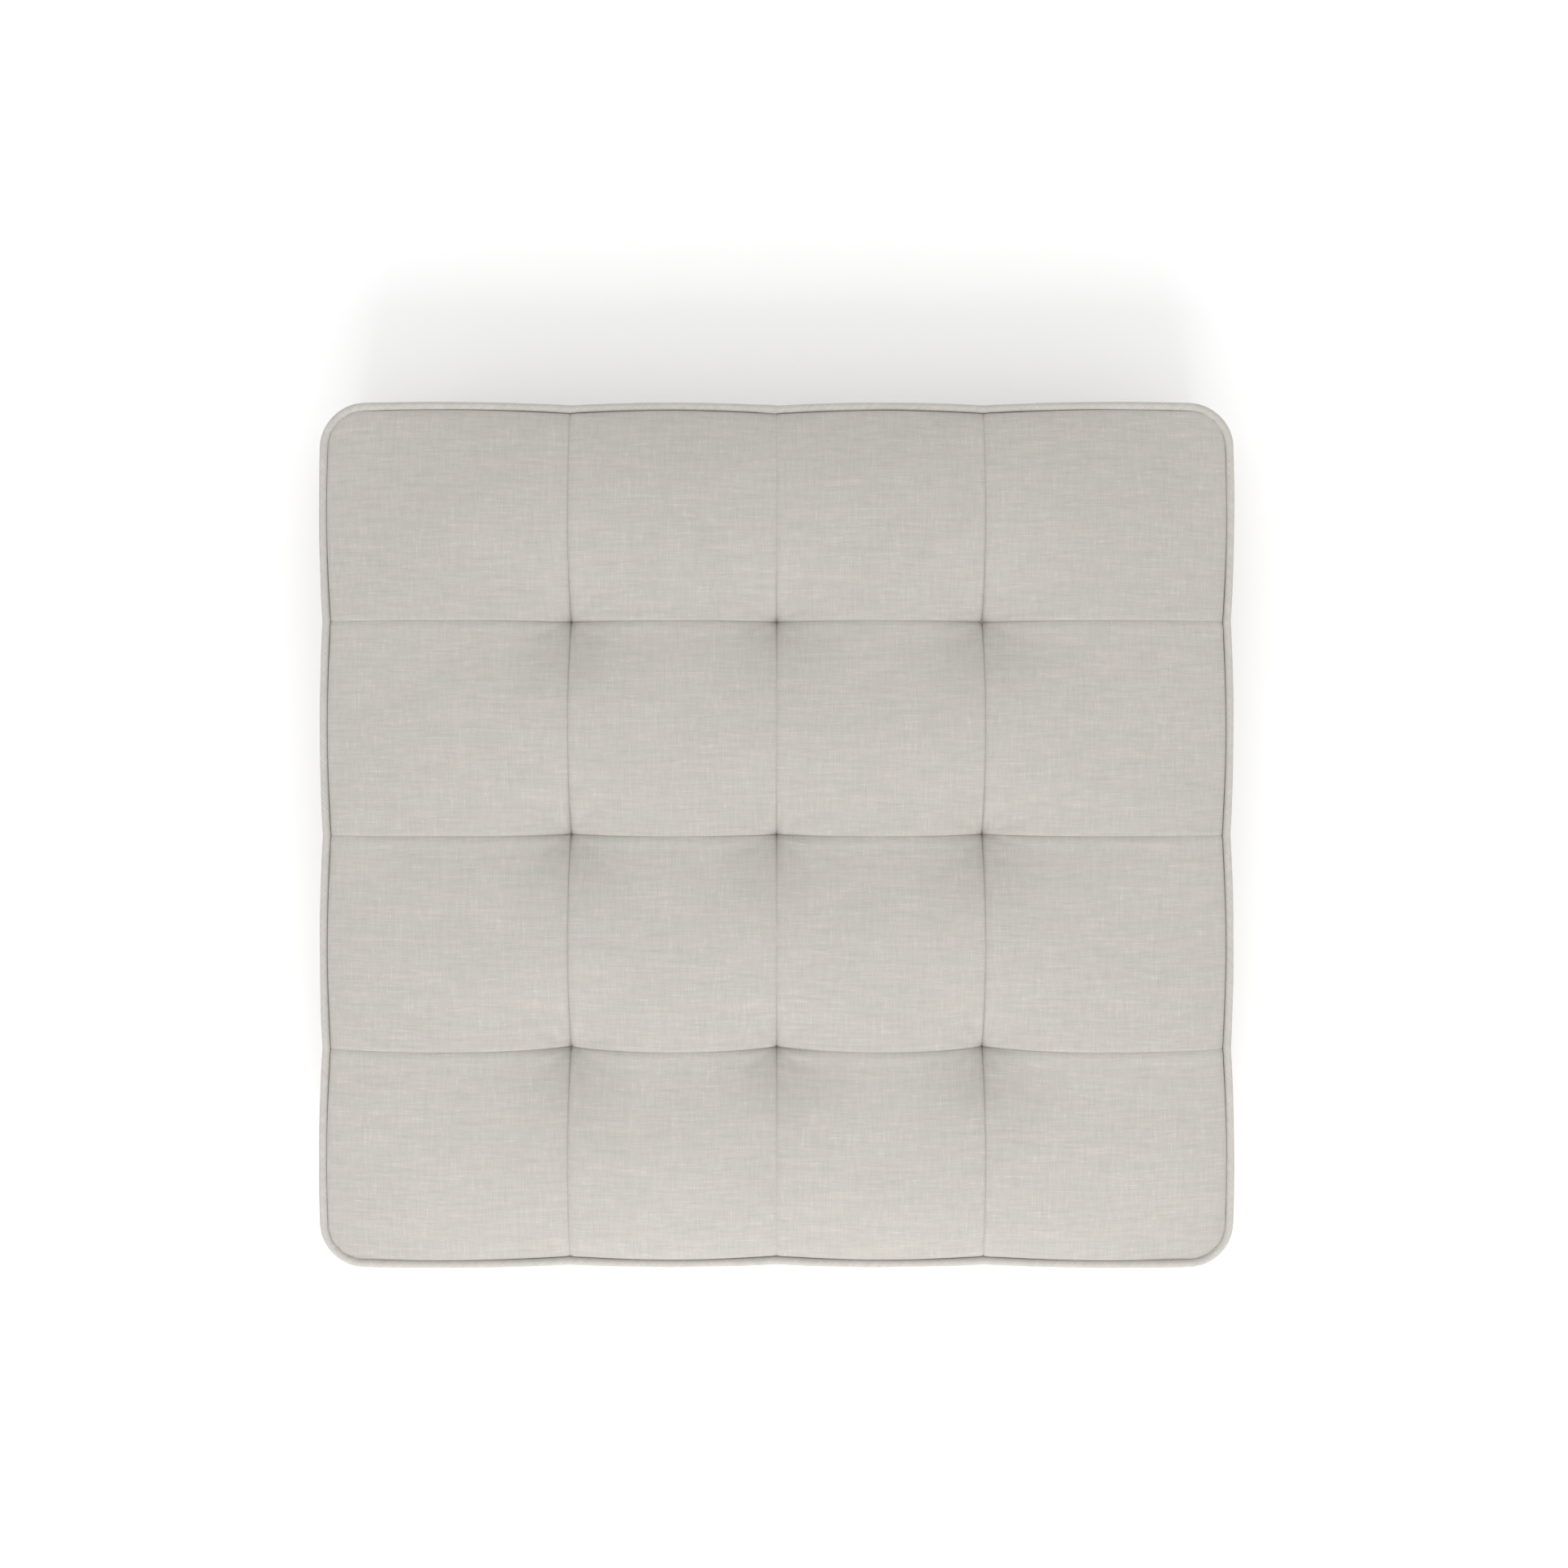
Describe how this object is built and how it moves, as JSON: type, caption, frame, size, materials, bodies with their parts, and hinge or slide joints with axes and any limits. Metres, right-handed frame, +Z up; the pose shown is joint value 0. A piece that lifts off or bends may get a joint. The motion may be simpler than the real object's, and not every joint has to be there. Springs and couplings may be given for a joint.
{
  "type": "chair seat pad",
  "caption": "Loose boxed seat pad for an armchair, with a pieced top held down by blind tufts, piping round both edges, and a zip in the rear edge.",
  "frame": {"origin": "under the middle of the pad, in the plane that the pad lies on", "axes": "+X along the width, to the right as seen from above with the front edge nearest; +Y to the rear, where the zip is; +Z up"},
  "size_m": [0.7834, 0.7414, 0.149],
  "materials": {
    "upholstery_cloth": "matt slub linen weave",
    "piping_cord": "twisted cotton cord",
    "base_cloth": "matt plain-woven lining",
    "fibre_fill": "lofty white polyester fibre",
    "soft_foam": "open-cell soft foam",
    "firm_foam": "open-cell firm foam",
    "twine": "waxed nylon twine",
    "button_metal": "pressed, bare",
    "button_plastic": "moulded",
    "zip_tape": "knitted polyester tape",
    "zip_coil": "polyester coil",
    "zip_metal": "nickel-plated, satin",
    "hook_tape": "woven nylon with hooks",
    "label_satin": "satin ribbon, blank"
  },
  "bodies": {
    "pad": {"top_panel_r1_c1": "upholstery_cloth", "top_panel_r1_c2": "upholstery_cloth", "top_panel_r1_c3": "upholstery_cloth", "top_panel_r1_c4": "upholstery_cloth", "top_panel_r2_c1": "upholstery_cloth", "top_panel_r2_c2": "upholstery_cloth", "top_panel_r2_c3": "upholstery_cloth", "top_panel_r2_c4": "upholstery_cloth", "top_panel_r3_c1": "upholstery_cloth", "top_panel_r3_c2": "upholstery_cloth", "top_panel_r3_c3": "upholstery_cloth", "top_panel_r3_c4": "upholstery_cloth", "top_panel_r4_c1": "upholstery_cloth", "top_panel_r4_c2": "upholstery_cloth", "top_panel_r4_c3": "upholstery_cloth", "top_panel_r4_c4": "upholstery_cloth", "top_piping_cover": "upholstery_cloth", "top_piping_cord": "piping_cord", "bottom_piping_cover": "upholstery_cloth", "bottom_piping_cord": "piping_cord", "front_boxing": "upholstery_cloth", "left_boxing": "upholstery_cloth", "right_boxing": "upholstery_cloth", "rear_boxing_upper": "upholstery_cloth", "rear_boxing_lower": "upholstery_cloth", "base_cloth": "base_cloth", "upper_fibre": "fibre_fill", "front_fibre": "fibre_fill", "lower_fibre": "fibre_fill", "foam_topper": "soft_foam", "foam_core": "firm_foam", "tufting_twines": "twine", "base_button_covers": "base_cloth", "base_button_shells": "button_metal", "base_button_backs": "button_plastic", "zip_tape_upper": "zip_tape", "zip_tape_lower": "zip_tape", "zip_row_upper": "zip_coil", "zip_row_lower": "zip_coil", "zip_stops": "zip_metal", "front_hook_strip": "hook_tape", "rear_hook_strip": "hook_tape", "care_label": "label_satin"},
    "slider": {"zip_slider": "zip_metal"},
    "pull": {"zip_pull": "zip_metal"}
  },
  "joints": [
    {"name": "zip_slide", "type": "slide", "parent": "pad", "child": "slider", "axis": [-1, 0, 0], "range_m": [0, 0.646]},
    {"name": "zip_pull_turn", "type": "hinge", "parent": "slider", "child": "pull", "pos_m": [0.323, 0.36795, 0.062], "axis": [0, 0, -1], "range_deg": [0, 180]}
  ]
}
